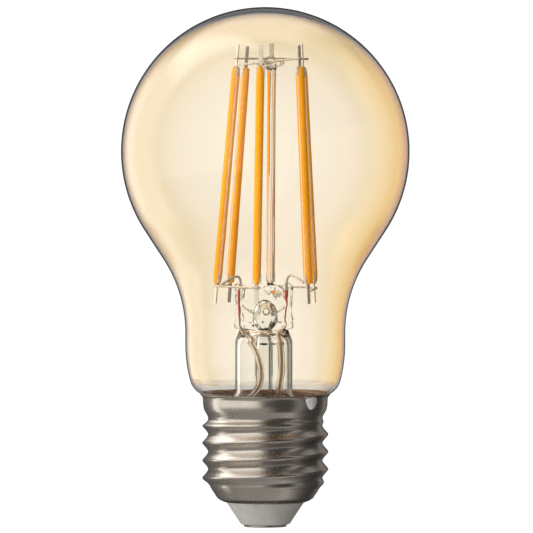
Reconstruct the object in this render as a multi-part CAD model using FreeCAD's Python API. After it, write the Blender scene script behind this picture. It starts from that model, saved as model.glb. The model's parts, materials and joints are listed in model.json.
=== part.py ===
import FreeCAD, Part
import math
import os

# Smart filament light bulb: amber-coated A60 globe on an E27 screw cap, cap down.
# Millimetres. +Z runs from the cap up to the globe, the origin is the middle of the
# centre contact's bottom face, and +X lies along the wide side of the glass stem.

# ---- Glass bulb ------------------------------------------------------------------------
overall_height = 108.0
globe_radius = 30.0
hollow_radius = 28.05         # concave curve between globe and neck
neck_radius = 16.64
neck_top_z = 40.3
neck_low_z = 38.0
shoulder_radius = 30.0        # gentle rounding under the neck
shoulder_low_z = 30.4
rim_radius = 4.5              # tight rounding just above the cap
rim_turn = 66.0               # degrees from upright where that rounding ends
curl_radius = 1.6             # reverse curve into the seal tube inside the cap
seal_z = 25.2                 # where bulb and flare are fused together
glass_wall = 0.55
crown_wall = 1.1              # the blown glass is thicker at the top
coat_gap = 0.03
coat_wall = 0.08
coat_low_z = 29.6

# ---- Glass stem ------------------------------------------------------------------------
stem_x = -0.3                 # the stem sits a little off the bulb's axis
flare_tube_radius = 5.95
flare_wall = 0.9
flare_curve = 3.2
flare_rim_radius = 11.9
shoulder_start_z = 39.0
press_low_z = 42.0
press_top_z = 49.7
press_width = 10.4
press_thickness = 2.4
column_x = 4.95
column_radius = 0.95
hollow_top_z = 40.9
port_z = 43.9
port_radius = 0.8
blister_y = -0.9              # the pumping hole was blown out towards the front
blister_radii = (2.0, 2.2, 3.2)
cavity_radius = 1.35
exhaust_radius = 1.87
exhaust_bore = 1.1
exhaust_tip_z = 21.6
exhaust_top_z = 41.3
rod_radius = 0.65
rod_bore = 0.2                # the rod is drawn capillary glass
rod_foot = FreeCAD.Vector(1.0, 0.0, press_top_z + 0.02)
rod_head = FreeCAD.Vector(1.6, 0.0, 95.7)
bead_radii = (2.2, 1.6, 1.25)
bead_z = 96.7
bead_lump_radius = 1.0

# ---- Filaments -------------------------------------------------------------------------
# Each filament's name, foot (x, y), head (x, y) and the length of its upper tab.
filament_places = [
    ("front", (-1.8, -10.9), (-1.0, -7.2), 4.2),
    ("front_right", (8.8, -6.6), (7.1, -4.2), 4.4),
    ("back_right", (10.1, 3.9), (7.8, 2.6), 5.0),
    ("back", (1.1, 10.8), (1.3, 7.2), 5.3),
    ("back_left", (-7.4, 7.9), (-4.1, 5.3), 4.6),
    ("front_left", (-10.0, -3.8), (-6.0, -2.7), 4.6),
]
filament_foot_z = 50.5
filament_head_z = 95.8
strip_width = 1.66
strip_thickness = 0.4
phosphor_width = 1.62
phosphor_height = 0.7
phosphor_nose = 1.5
terminal_length = 2.0
tab_width = 0.95
tab_thickness = 0.3
lower_tab_length = 4.0
chip_count = 28
chip_size = (0.9, 0.45, 0.14)
mount_wire = 0.44
# The wires across the top, by the filament each starts from, with the heights of its two ends.
head_wire_heights = [(96.15, 96.2), (97.3, 96.35), (97.45, 97.4)]
head_wire_overhang = 1.0
# The bent wires at the bottom: the filaments each one joins, and its height at each.
foot_wire_stops = {
    "left": ((0, 49.9), (5, 50.1), (4, 50.0)),
    "right": ((1, 49.2), (2, 49.6), (3, 49.9)),
}
foot_wire_overhang = 0.9
foot_wire_slack = 0.35        # keeps the straight runs clear of the tilted tabs

# ---- Screw cap, size E27 ---------------------------------------------------------------
thread_pitch = 3.629
thread_major = 13.15
thread_valley = 12.0
thread_arc = 1.0
thread_start_z = 4.70
thread_turns = 5
shell_low_z = 5.15
shell_sheet = 0.35
shell_bore = 11.5
collar_radius = 13.0
collar_low_z = 24.7
collar_top_z = 27.45
rim_flare_radius = 13.56
contact_radius = 4.5
contact_thickness = 0.5
solder_cup_radius = 1.5
solder_cup_depth = 0.25
insulator_top_z = 7.0
side_solder_azimuth = -43.0
side_solder_z = 26.75

# ---- Driver and radio inside the cap -----------------------------------------------------
liner_radius = 11.35
liner_wall = 0.4
liner_low_z = 9.0
liner_top_z = 22.4
board_width = 20.4
board_low_z = 8.0
board_top_z = 20.6
board_thickness = 1.0
board_y = 2.0
radio_width = 11.0
radio_thickness = 0.8
radio_y = -6.0
radio_low_z = 9.4
radio_top_z = 20.8

# ---- Leads -----------------------------------------------------------------------------
seal_wire = 0.5
lead_wire = 0.36
sleeve_radius = 0.65
sleeve_bore = 0.25
live_wire = 0.5
neutral_wire = 0.24
weld_gap = 0.03
sleeve_low_z = 21.3
sleeve_high_z = 40.3

V = FreeCAD.Vector
Z = V(0, 0, 1)


# ---- Shape helpers -----------------------------------------------------------------------
def line(a, b):
    return Part.LineSegment(a, b).toShape()


def arc_about(centre, radius, start, end):
    """Arc in the XZ plane about centre, from angle start to end in degrees."""
    points = []
    for angle in (start, (start + end) / 2, end):
        turn = math.radians(angle)
        points.append(centre + V(math.cos(turn), 0, math.sin(turn)) * radius)
    return Part.Arc(*points).toShape()


def ends(edge):
    return edge.valueAt(edge.FirstParameter), edge.valueAt(edge.LastParameter)


def joined(pieces):
    """Chain of arcs and points in the XZ plane, closed, with lines between them."""
    edges = []
    for piece, following in zip(pieces, pieces[1:] + pieces[:1]):
        leave = piece
        if not isinstance(piece, FreeCAD.Vector):
            edges.append(piece)
            leave = ends(piece)[1]
        reach = following
        if not isinstance(following, FreeCAD.Vector):
            reach = ends(following)[0]
        if (reach - leave).Length > 1e-6:
            edges.append(line(leave, reach))
    return Part.Wire(edges)


def turned(pieces):
    """Solid of revolution about Z from a closed half outline."""
    face = Part.Face(joined(pieces))
    return face.revolve(V(0, 0, 0), Z, 360)


def ring(outer, inner, low, high):
    return turned([V(inner, 0, low), V(outer, 0, low), V(outer, 0, high), V(inner, 0, high)])


def ellipsoid(centre, radii):
    ball = Part.makeSphere(1.0)
    stretch = FreeCAD.Matrix()
    stretch.scale(*radii)
    shape = ball.transformGeometry(stretch)
    shape.translate(centre)
    return shape


def block(low, high):
    size = high - low
    return Part.makeBox(size.x, size.y, size.z, low)


def rounded_block(low, high, radius):
    shape = block(low, high)
    return shape.makeFillet(radius, shape.Edges)


def bent_path(points):
    """Straight runs through the points, joined by tangent arcs as large as the runs allow."""
    edges = []
    start = points[0]
    for before, corner, after in zip(points, points[1:], points[2:]):
        run_in = corner - before
        run_out = after - corner
        half_turn = run_in.getAngle(run_out) / 2
        cut = 0.45 * min(run_in.Length, run_out.Length)
        radius = cut / math.tan(half_turn)
        inward = run_in.normalize()
        outward = run_out.normalize()
        arc_start = corner - inward * cut
        arc_end = corner + outward * cut
        towards_centre = (outward - inward).normalize()
        arc_middle = corner + towards_centre * (radius / math.cos(half_turn) - radius)
        edges.append(line(start, arc_start))
        edges.append(Part.Arc(arc_start, arc_middle, arc_end).toShape())
        start = arc_end
    edges.append(line(start, points[-1]))
    return Part.Wire(edges)


def wire_along(points, radius):
    """Round wire or tube body along a bent path."""
    path = bent_path(points)
    direction = points[1] - points[0]
    section = Part.Wire(Part.makeCircle(radius, points[0], direction))
    return path.makePipeShell([section], True, True)


# ---- Bulb glass --------------------------------------------------------------------------
def bulb_inside(wall, crown, low_z):
    """Everything inside the bulb's skin, set in by wall, or by crown at the very top."""
    ball = globe_radius - wall
    ball_centre = V(0, 0, overall_height - crown - ball)
    hollow = hollow_radius + wall
    hollow_centre = V(neck_radius + hollow_radius, 0, neck_top_z)
    between = hollow_centre - ball_centre
    swing = math.acos((ball + hollow) / between.Length)
    tangent = math.degrees(math.atan2(between.z, between.x) + swing)
    shoulder_centre = V(neck_radius - shoulder_radius, 0, neck_low_z)
    shoulder_turn = math.degrees(math.asin((neck_low_z - shoulder_low_z) / shoulder_radius))
    shoulder_out = V(math.cos(math.radians(shoulder_turn)), 0, -math.sin(math.radians(shoulder_turn)))
    rim_centre = shoulder_centre + shoulder_out * (shoulder_radius - rim_radius)
    rim_out = V(math.cos(math.radians(rim_turn)), 0, -math.sin(math.radians(rim_turn)))
    curl_centre = rim_centre + rim_out * (rim_radius + curl_radius)
    curl = curl_radius + wall
    return turned([
        arc_about(ball_centre, ball, 90, tangent),
        arc_about(hollow_centre, hollow, 180 + tangent, 180),
        arc_about(shoulder_centre, shoulder_radius - wall, 0, -shoulder_turn),
        arc_about(rim_centre, rim_radius - wall, -shoulder_turn, -rim_turn),
        arc_about(curl_centre, curl, 180 - rim_turn, 180),
        V(curl_centre.x - curl, 0, low_z),
        V(0, 0, low_z),
    ])


def glass_envelope():
    return bulb_inside(0, 0, seal_z).cut(bulb_inside(glass_wall, crown_wall, seal_z - 1))


def amber_coating():
    outer = bulb_inside(glass_wall + coat_gap, crown_wall + coat_gap, seal_z)
    inset = coat_gap + coat_wall
    inner = bulb_inside(glass_wall + inset, crown_wall + inset, seal_z)
    below = Part.makeCylinder(globe_radius, coat_low_z)
    return outer.cut(inner).cut(below)


# ---- Glass stem --------------------------------------------------------------------------
def stem_tube():
    """Flare tube, open at the bottom where it spreads to meet the bulb."""
    curve_z = seal_z + flare_curve
    curve_r = flare_tube_radius + flare_curve
    curve_centre = V(curve_r, 0, curve_z)
    inner_curve = flare_curve + flare_wall
    return turned([
        arc_about(curve_centre, flare_curve, 180, 270),
        V(flare_rim_radius, 0, seal_z),
        V(flare_rim_radius, 0, seal_z - flare_wall),
        arc_about(curve_centre, inner_curve, 270, 180),
        V(flare_tube_radius - flare_wall, 0, shoulder_start_z),
        V(flare_tube_radius, 0, shoulder_start_z),
    ])


def round_wire(radius, z):
    return Part.Wire(Part.makeCircle(radius, V(0, 0, z)))


def oval_wire(half_x, half_y, z):
    oval = Part.Ellipse(V(0, 0, z), half_x, half_y).toShape()
    return Part.Wire(oval)


def stem_shoulder():
    """Where the round tube is pinched flat; its hollow ends at the exhaust tube."""
    half_press = press_width / 2
    inner = flare_tube_radius - flare_wall
    outside = Part.makeLoft([
        round_wire(flare_tube_radius, shoulder_start_z),
        oval_wire(half_press, press_thickness / 2, press_low_z),
    ], True)
    hollow = Part.makeLoft([
        round_wire(inner, shoulder_start_z),
        oval_wire(0.93 * inner, 0.3 * inner, hollow_top_z),
    ], True)
    return outside.cut(hollow)


def stem_press():
    """Flat pinched glass with a thick column round each seal wire and a bead on top of it."""
    overlap = 0.6
    half_press = press_width / 2
    half_thick = press_thickness / 2
    low = V(-half_press, -half_thick, press_low_z - overlap)
    press = block(low, V(half_press, half_thick, press_top_z))
    for side in (-1, 1):
        foot = V(side * column_x, 0, press_low_z - 2 * overlap)
        column = Part.makeCylinder(column_radius, press_top_z - foot.z, foot)
        knot = Part.makeSphere(1.15 * column_radius, V(side * column_x, 0, press_top_z))
        press = press.fuse(column).fuse(knot)
    blister = ellipsoid(V(-stem_x, blister_y, port_z), blister_radii)
    cavity = Part.makeSphere(cavity_radius, V(-stem_x, blister_y / 2, port_z))
    passage_low = exhaust_top_z - 1
    passage = Part.makeCylinder(exhaust_bore, port_z - passage_low, V(-stem_x, 0, passage_low))
    port = Part.makeCylinder(port_radius, 4, V(-stem_x, -1, port_z), V(0, -1, 0))
    return press.fuse(blister), cavity.fuse(passage).fuse(port)


def seal_wire_path(side):
    if side < 0:
        return V(-5.4, 0, 49.25), V(-5.35, 0, 41.9)
    return V(4.5, 0, 49.25), V(4.2, 0, 41.9)


def seal_wire_solid(side):
    top, bottom = seal_wire_path(side)
    run = bottom - top
    return Part.makeCylinder(seal_wire / 2, run.Length, top, run)


def stem():
    press, pumping_hole = stem_press()
    shape = stem_tube().fuse(stem_shoulder()).fuse(press).cut(pumping_hole)
    shape.translate(V(stem_x, 0, 0))
    shape = shape.cut(exhaust_outside())
    for side in (-1, 1):
        shape = shape.cut(seal_wire_solid(side))
        shape = shape.cut(lead_wire_solid(side))
        shape = shape.cut(lead_conductor(side))
        shape = shape.cut(sleeve_outside(side))
    return max(shape.Solids, key=lambda solid: solid.Volume)


def exhaust_outside():
    """Outer shape of the pumping tube, tipped off with a rounded end inside the cap."""
    tip = V(0, 0, exhaust_tip_z + exhaust_radius)
    return turned([
        arc_about(tip, exhaust_radius, 270, 360),
        V(exhaust_radius, 0, exhaust_top_z),
        V(0, 0, exhaust_top_z),
    ])


def exhaust_tube():
    bore_tip = V(0, 0, exhaust_tip_z + exhaust_radius)
    return exhaust_outside().cut(Part.makeCylinder(exhaust_bore, exhaust_top_z, bore_tip))


def rod_solid(radius):
    run = rod_head - rod_foot
    return Part.makeCylinder(radius, run.Length - bead_radii[2], rod_foot, run)


def centre_rod():
    return rod_solid(rod_radius).cut(rod_solid(rod_bore))


def top_bead(wires):
    """Melted bead round the crossing wires, with a smaller lump where it ran down the rod."""
    bead = ellipsoid(V(rod_head.x, 0, bead_z), bead_radii)
    lump = Part.makeSphere(bead_lump_radius, V(rod_head.x - 0.3, -0.4, bead_z - bead_radii[2]))
    shape = bead.fuse(lump).cut(rod_solid(rod_radius))
    for wire in wires:
        shape = shape.cut(wire)
    return shape


# ---- Filaments ---------------------------------------------------------------------------
def filament_frame(foot, head):
    """Placement with local X across the strip, Y outwards and Z from foot to head."""
    start = V(foot[0], foot[1], filament_foot_z)
    along = (V(head[0], head[1], filament_head_z) - start).normalize()
    outward = V(foot[0], foot[1], 0)
    outward = (outward - along * outward.dot(along)).normalize()
    across = outward.cross(along)
    turn = FreeCAD.Matrix(
        across.x, outward.x, along.x, start.x,
        across.y, outward.y, along.y, start.y,
        across.z, outward.z, along.z, start.z,
        0, 0, 0, 1)
    return FreeCAD.Placement(turn)


def filament_length(foot, head):
    return V(head[0] - foot[0], head[1] - foot[1], filament_head_z - filament_foot_z).Length


def phosphor_outline(length):
    """Boat shape seen square on: straight sides with pointed, rounded ends."""
    half = phosphor_width / 2
    belly = 0.7 * half
    low = phosphor_nose
    high = length - phosphor_nose
    edges = [
        Part.Arc(V(0, 0, 0), V(belly, 0, 0.4 * low), V(half, 0, low)).toShape(),
        line(V(half, 0, low), V(half, 0, high)),
        Part.Arc(V(half, 0, high), V(belly, 0, length - 0.4 * low), V(0, 0, length)).toShape(),
        Part.Arc(V(0, 0, length), V(-belly, 0, length - 0.4 * low), V(-half, 0, high)).toShape(),
        line(V(-half, 0, high), V(-half, 0, low)),
        Part.Arc(V(-half, 0, low), V(-belly, 0, 0.4 * low), V(0, 0, 0)).toShape(),
    ]
    return Part.Face(Part.Wire(edges))


def phosphor(length):
    """Two silicone domes, one on each face of the strip, over the rows of chips."""
    boat = phosphor_outline(length)
    half_strip = strip_thickness / 2
    domes = []
    for side in (-1, 1):
        across = Part.Ellipse(V(0, side * half_strip, 0), phosphor_width / 2, phosphor_height).toShape()
        pole = Part.Face(Part.Wire(across)).extrude(Z * length)
        slab = boat.extrude(V(0, side * 2, 0))
        slab.translate(V(0, side * half_strip, 0))
        dome = pole.common(slab)
        if side > 0:
            width, depth = chip_size[0], chip_size[2]
            groove = block(V(-width / 2, half_strip, 0), V(width / 2, half_strip + depth, length))
            dome = dome.cut(groove)
        domes.append(dome)
    return Part.makeCompound(domes)


def filament_strip(length):
    low = V(-strip_width / 2, -strip_thickness / 2, terminal_length)
    high = V(strip_width / 2, strip_thickness / 2, length - terminal_length)
    return block(low, high)


def terminals(length, upper_tab_length):
    """Metal end clips of the strip, each carrying on as a narrow tab."""
    clip_start = 0.3
    half = strip_width / 2
    half_clip = strip_thickness / 2
    half_tab = tab_width / 2
    half_sheet = tab_thickness / 2
    clip_end = length - clip_start
    tab_end = length + upper_tab_length
    lower_clip = block(V(-half, -half_clip, clip_start), V(half, half_clip, terminal_length))
    upper_clip = block(V(-half, -half_clip, length - terminal_length), V(half, half_clip, clip_end))
    lower_tab = block(V(-half_tab, -half_sheet, -lower_tab_length), V(half_tab, half_sheet, clip_start))
    upper_tab = block(V(-half_tab, -half_sheet, clip_end), V(half_tab, half_sheet, tab_end))
    return Part.makeCompound([lower_clip.fuse(lower_tab), upper_clip.fuse(upper_tab)])


def chip_row(length):
    margin = terminal_length + 0.8
    step = (length - 2 * margin) / (chip_count - 1)
    width, tall, depth = chip_size
    half_strip = strip_thickness / 2
    chips = []
    for number in range(chip_count):
        z = margin + number * step
        low = V(-width / 2, half_strip, z - tall / 2)
        chips.append(block(low, low + V(width, depth, tall)))
    return Part.makeCompound(chips)


# ---- Mount wires -------------------------------------------------------------------------
def tab_edge(foot, head, z, side):
    """Point beside a tab's edge where a mount wire is welded to it."""
    frame = filament_frame(foot, head)
    reach = (z - filament_foot_z) / (filament_head_z - filament_foot_z) * filament_length(foot, head)
    beside = (tab_width + mount_wire) / 2 + weld_gap
    return frame.multVec(V(side * beside, 0, reach))


def head_wires():
    """Three straight wires through the top bead, each joining two opposite filaments."""
    wires = []
    for number, (near_z, far_z) in enumerate(head_wire_heights):
        near = filament_places[number]
        far = filament_places[number + 3]
        a = tab_edge(near[1], near[2], near_z, 1)
        b = tab_edge(far[1], far[2], far_z, -1)
        run = (b - a).normalize() * head_wire_overhang
        wires.append(wire_along([a - run, b + run], mount_wire / 2))
    return wires


def foot_wire(stops):
    """Bent wire welded to the outer faces of three tabs in a row."""
    outside = (tab_thickness + mount_wire) / 2 + foot_wire_slack
    points = []
    for number, height in stops:
        foot, head = filament_places[number][1:3]
        frame = filament_frame(foot, head)
        points.append(frame.multVec(V(0, outside, height - filament_foot_z)))
    first = points[0] + (points[0] - points[1]).normalize() * foot_wire_overhang
    last = points[-1] + (points[-1] - points[-2]).normalize() * foot_wire_overhang
    return wire_along([first] + points[1:-1] + [last], mount_wire / 2)


def lead_wire_solid(side):
    """Lead that rises from the press, loops over and comes down to the foot wire."""
    low_z = press_top_z - 0.3
    if side < 0:
        points = [V(-5.4, 0, low_z), V(-4.9, -0.2, 51.3), V(-6.1, -1.4, 52.6), V(-8.9, -4.0, 50.5)]
    else:
        points = [V(4.5, 0, low_z), V(4.2, -0.4, 51.5), V(5.6, -2.4, 52.9), V(8.0, -5.6, 50.9)]
    return wire_along(points, mount_wire / 2)


# ---- Leads inside the stem and cap ---------------------------------------------------------
def lead_points(side):
    if side < 0:
        return [V(-5.33, 0, 41.75), V(-4.2, -1.3, 40.2), V(-2.5, -2.9, 38.0), V(-1.3, -3.3, 35.2),
                V(-0.8, -3.4, 32.3), V(-1.1, -3.4, 29.6), V(-2.4, -3.3, 27.3), V(-4.2, -2.4, 25.0),
                V(-5.0, -0.9, 22.9), V(-5.2, 0.85, 21.3), V(-5.2, 1.27, 19.4)]
    return [V(4.2, 0, 41.75), V(3.3, -1.0, 40.3), V(3.0, -2.2, 38.2), V(3.15, -2.7, 35.4),
            V(3.2, -2.8, 32.4), V(2.8, -3.0, 29.7), V(2.6, -3.0, 27.4), V(2.9, -2.6, 25.2),
            V(3.3, -1.2, 23.0), V(3.4, 0.9, 21.3), V(3.4, 1.27, 19.4)]


def lead_conductor(side):
    return wire_along(lead_points(side), lead_wire / 2)


def sleeve_outside(side):
    """Outer shape of the insulating sleeve over the lead's middle stretch."""
    stretch = Part.makeCylinder(flare_rim_radius, sleeve_high_z - sleeve_low_z, Z * sleeve_low_z)
    return wire_along(lead_points(side), sleeve_radius).common(stretch)


def lead_sleeve(side):
    return sleeve_outside(side).cut(wire_along(lead_points(side), sleeve_bore))


def live_lead():
    low = contact_thickness - solder_cup_depth
    points = [V(0, 0, low), V(0, 0, 7.5), V(0.2, 1.22, 9.1), V(0.2, 1.22, 10.6)]
    return wire_along(points, live_wire / 2)


def neutral_lead():
    """Thin wire from the board, up between glass and collar, to the solder on the rim."""
    turn = math.radians(side_solder_azimuth)
    outward = V(math.cos(turn), math.sin(turn), 0)
    points = [V(8.2, 1.36, 19.4), V(8.3, 1.0, 21.2), V(8.0, -4.4, 22.2), outward * 11.2 + Z * 22.8,
              outward * 11.95 + Z * 24.0, outward * 12.42 + Z * 25.5, outward * 12.5 + Z * 26.6]
    return wire_along(points, neutral_wire / 2)


# ---- Screw cap ---------------------------------------------------------------------------
def thread_ridge():
    """Rounded right-hand ridge, swept along a helix that runs past both ends of the thread."""
    height = thread_turns * thread_pitch
    helix = Part.makeHelix(thread_pitch, height, thread_valley)
    crest_centre = V(thread_major - thread_arc, 0, 0)
    root_x = thread_valley + thread_arc - 0.05
    half_pitch = thread_pitch / 2
    half_foot = 0.97 * half_pitch
    meet = (crest_centre + V(root_x, 0, half_pitch)) / 2
    lean = math.degrees(math.asin(meet.z / thread_arc))
    root_lean = math.degrees(math.asin((half_pitch - half_foot) / thread_arc))
    section = joined([
        V(shell_bore - 0.1, 0, -half_foot),
        arc_about(V(root_x, 0, -half_pitch), thread_arc, 180 - root_lean, 180 - lean),
        arc_about(crest_centre, thread_arc, -lean, lean),
        arc_about(V(root_x, 0, half_pitch), thread_arc, 180 + lean, 180 + root_lean),
        V(shell_bore - 0.1, 0, half_foot),
    ])
    ridge = Part.Wire(helix).makePipeShell([section], True, True)
    ridge.translate(Z * thread_start_z)
    return ridge


def thread_limit():
    """Turned outline that fades the thread out at its top and bottom."""
    return turned([
        V(0, 0, 7.4),
        V(11.3, 0, 7.4),
        V(12.3, 0, 8.3),
        V(thread_major + 0.1, 0, 10.0),
        V(thread_major + 0.1, 0, 21.0),
        V(thread_valley - 0.1, 0, 22.5),
        V(0, 0, 22.5),
    ])


def arc_through(a, b, c):
    """Arc through three (radius, height) points."""
    return Part.Arc(V(a[0], 0, a[1]), V(b[0], 0, b[1]), V(c[0], 0, c[1])).toShape()


def shell_side(inset):
    """Cap shell outline from the bottom lip to the rim, set in by the sheet's thickness."""
    waist = max(thread_valley - inset, shell_bore)
    lift = inset / 2
    return [
        V(8.5 - inset, 0, shell_low_z),
        arc_through(
            (8.9 - inset, shell_low_z + 0.15 + lift),
            (10.4 - inset, 6.1 + lift),
            (11.2 - inset, 7.7),
        ),
        V(waist, 0, 9.0),
        arc_through((waist, 22.7), (waist + 0.25, 23.6), (collar_radius - inset, collar_low_z)),
        V(collar_radius - inset, 0, collar_top_z - 0.7),
        V(rim_flare_radius - inset, 0, collar_top_z - 0.1),
        V(rim_flare_radius - inset, 0, collar_top_z),
    ]


def cap_shell():
    """Rolled nickel-plated screw shell with its collar."""
    axis_low = V(0, 0, shell_low_z)
    axis_high = V(0, 0, collar_top_z)
    outside = turned([axis_low] + shell_side(0) + [axis_high])
    inside = turned([axis_low] + shell_side(shell_sheet) + [axis_high])
    ridge = thread_ridge().common(thread_limit())
    return outside.fuse(ridge).cut(inside)


def cap_insulator(shell):
    wire_hole = 0.5
    body = turned([
        V(wire_hole, 0, contact_thickness),
        V(5.1, 0, contact_thickness),
        V(8.07, 0, shell_low_z),
        V(8.07, 0, shell_low_z + 0.7),
        V(9.6, 0, 6.2),
        V(9.6, 0, insulator_top_z),
        V(wire_hole, 0, insulator_top_z),
    ])
    return body.cut(shell)


def centre_contact():
    wire_hole = 0.32
    edge = 0.15
    return turned([
        V(solder_cup_radius, 0, 0),
        V(contact_radius - edge, 0, 0),
        V(contact_radius, 0, edge),
        V(contact_radius, 0, contact_thickness),
        V(wire_hole, 0, contact_thickness),
        V(wire_hole, 0, solder_cup_depth),
        V(solder_cup_radius, 0, solder_cup_depth),
    ])


def contact_solder():
    recess = 0.05
    crown = recess + 0.04
    return turned([
        arc_through((0, recess), (solder_cup_radius / 2, recess + 0.01), (solder_cup_radius, crown)),
        V(solder_cup_radius, 0, solder_cup_depth),
        V(0, 0, solder_cup_depth),
    ])


def side_solder(shell, glass, wire):
    """Solder drop that hangs over the rim and fixes the neutral wire."""
    drop = ellipsoid(V(0, 0, 0), (0.75, 1.75, 2.1))
    above = block(V(-5, -5, 0.85), V(5, 5, 5))
    drop = drop.cut(above)
    drop.translate(V(collar_radius, 0, side_solder_z))
    drop.rotate(V(0, 0, 0), Z, side_solder_azimuth)
    drop = drop.cut(shell).cut(glass).cut(wire)
    return max(drop.Solids, key=lambda solid: solid.Volume)


def cement_ring(shell, glass, wire, solder):
    in_sheet = shell_sheet / 2
    blank = turned([
        V(12.0, 0, seal_z),
        V(collar_radius - in_sheet, 0, seal_z),
        V(collar_radius - in_sheet, 0, collar_top_z - 0.7),
        V(rim_flare_radius - in_sheet, 0, collar_top_z - 0.1),
        V(rim_flare_radius - in_sheet, 0, collar_top_z + 0.1),
        V(rim_flare_radius - 2 * in_sheet, 0, collar_top_z + 0.3),
        V(12.0, 0, collar_top_z + 0.2),
    ])
    ring_shape = blank.cut(shell).cut(glass).cut(wire).cut(solder)
    return max(ring_shape.Solids, key=lambda solid: solid.Volume)


# ---- Driver and radio ----------------------------------------------------------------------
def upright_plate(width, thickness, y, low_z, top_z):
    return block(V(-width / 2, y - thickness / 2, low_z), V(width / 2, y + thickness / 2, top_z))


def round_corners(shape, radius):
    """Rounds the edges that run front to back."""
    corners = [edge for edge in shape.Edges if abs(edge.tangentAt(edge.FirstParameter).y) > 0.9]
    return shape.makeFillet(radius, corners)


def driver_board():
    board = upright_plate(board_width, board_thickness, board_y, board_low_z, board_top_z)
    return round_corners(board, 1.2)


def radio_board():
    return upright_plate(radio_width, radio_thickness, radio_y, radio_low_z, radio_top_z)


def radio_shield():
    """Folded metal can over the radio chip, open towards its board."""
    face = radio_y - radio_thickness / 2
    low, high = V(-4.2, face - 1.6, 10.2), V(4.2, face, 17.4)
    sheet = 0.2
    can = round_corners(block(low, high), 0.6)
    inset = V(sheet, sheet, sheet)
    return can.cut(block(low + inset, high - V(sheet, 0, sheet)))


def chip_antenna():
    face = radio_y - radio_thickness / 2
    return rounded_block(V(-2.6, face - 1.1, 18.3), V(2.6, face, 20.2), 0.12)


def radio_pins():
    front = board_y - board_thickness / 2
    back = radio_y + radio_thickness / 2
    half_pin = 0.25
    pins = []
    for number in range(4):
        x = -1.75 + number
        pins.append(block(V(x - half_pin, back, 17.4 - half_pin), V(x + half_pin, front, 17.4 + half_pin)))
    return Part.makeCompound(pins)


def bulk_capacitor():
    """Radial electrolytic can lying against the board, upright, with its rolled groove."""
    radius = 3.1
    low = 9.6
    high = 16.6
    groove_z = low + 1.2
    can = turned([
        V(0, 0, low),
        V(radius - 0.3, 0, low),
        V(radius, 0, low + 0.3),
        arc_through((radius, groove_z - 0.3), (radius - 0.3, groove_z), (radius, groove_z + 0.3)),
        V(radius, 0, high - 0.3),
        V(radius - 0.3, 0, high),
        V(0, 0, high),
    ])
    can.translate(V(-6.0, board_y - board_thickness / 2 - radius, 0))
    return can


def power_inductor():
    """Drum core: two flanges with the winding between them, standing on the board."""
    front = board_y - board_thickness / 2
    drum = Part.makeCylinder(2.9, 1.0, V(5.6, front, 11.6), V(0, -1, 0))
    winding = Part.makeCylinder(2.5, 2.6, V(5.6, front - 1.0, 11.6), V(0, -1, 0))
    cap = Part.makeCylinder(2.9, 1.0, V(5.6, front - 3.6, 11.6), V(0, -1, 0))
    return drum.fuse(winding).fuse(cap)


def small_package(low, high, lead_xs, lead_drop):
    """Moulded body with a row of flat leads above and below it."""
    shape = block(low, high)
    face_y = high.y if lead_drop > 0 else low.y
    for x in lead_xs:
        for z in (low.z, high.z):
            reach = 0.7 if z == high.z else -0.7
            a = V(x - 0.2, face_y, z)
            b = V(x + 0.2, face_y - lead_drop, z + reach)
            corner_low = V(a.x, min(a.y, b.y), min(a.z, b.z))
            corner_high = V(b.x, max(a.y, b.y), max(a.z, b.z))
            shape = shape.fuse(block(corner_low, corner_high))
    return shape


def bridge_rectifier():
    front = board_y - board_thickness / 2
    return small_package(V(3.6, front - 1.6, 16.2), V(8.0, front, 18.8), (4.6, 7.0), 0.25)


def driver_chip():
    rear = board_y + board_thickness / 2
    return small_package(V(-2.4, rear, 16.0), V(2.4, rear + 1.5, 19.0), (-1.9, -0.63, 0.63, 1.9), -0.25)


def dimming_transistor():
    rear = board_y + board_thickness / 2
    return small_package(V(4.6, rear, 16.4), V(7.5, rear + 1.1, 18.0), (5.1, 6.05, 7.0), -0.2)


def film_capacitor():
    rear = board_y + board_thickness / 2
    return rounded_block(V(0.4, rear, 8.9), V(7.4, rear + 3.6, 14.6), 0.4)


def fusible_resistor():
    """Axial resistor with dog-bone ends and its two legs turned into the board."""
    rear = board_y + board_thickness / 2
    axis_y = rear + 1.9
    body = turned([
        V(0, 0, 9.3),
        V(1.3, 0, 9.3),
        V(1.5, 0, 10.4),
        V(1.2, 0, 11.0),
        V(1.2, 0, 13.8),
        V(1.5, 0, 14.4),
        V(1.3, 0, 15.5),
        V(0, 0, 15.5),
    ])
    body.translate(V(-5.4, axis_y, 0))
    for z, direction in ((9.3, -1), (15.5, 1)):
        turn_z = z + direction * 0.7
        leg = wire_along([V(-5.4, axis_y, z), V(-5.4, axis_y, turn_z), V(-5.4, rear, turn_z)], 0.25)
        body = body.fuse(leg)
    return body


def board_chip_parts():
    """Surface-mounted resistors and capacitors on the back of the board."""
    rear = board_y + board_thickness / 2
    chips = []
    for column, x in enumerate((-8.8, -7.2, -3.4)):
        for row in range(3 - column % 2):
            z = 10.2 + 2.6 * row + 0.7 * column
            if x > -4:
                z += 5.0
            chips.append(block(V(x - 0.4, rear, z - 0.8), V(x + 0.4, rear + 0.55, z + 0.8)))
    return Part.makeCompound(chips)


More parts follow.
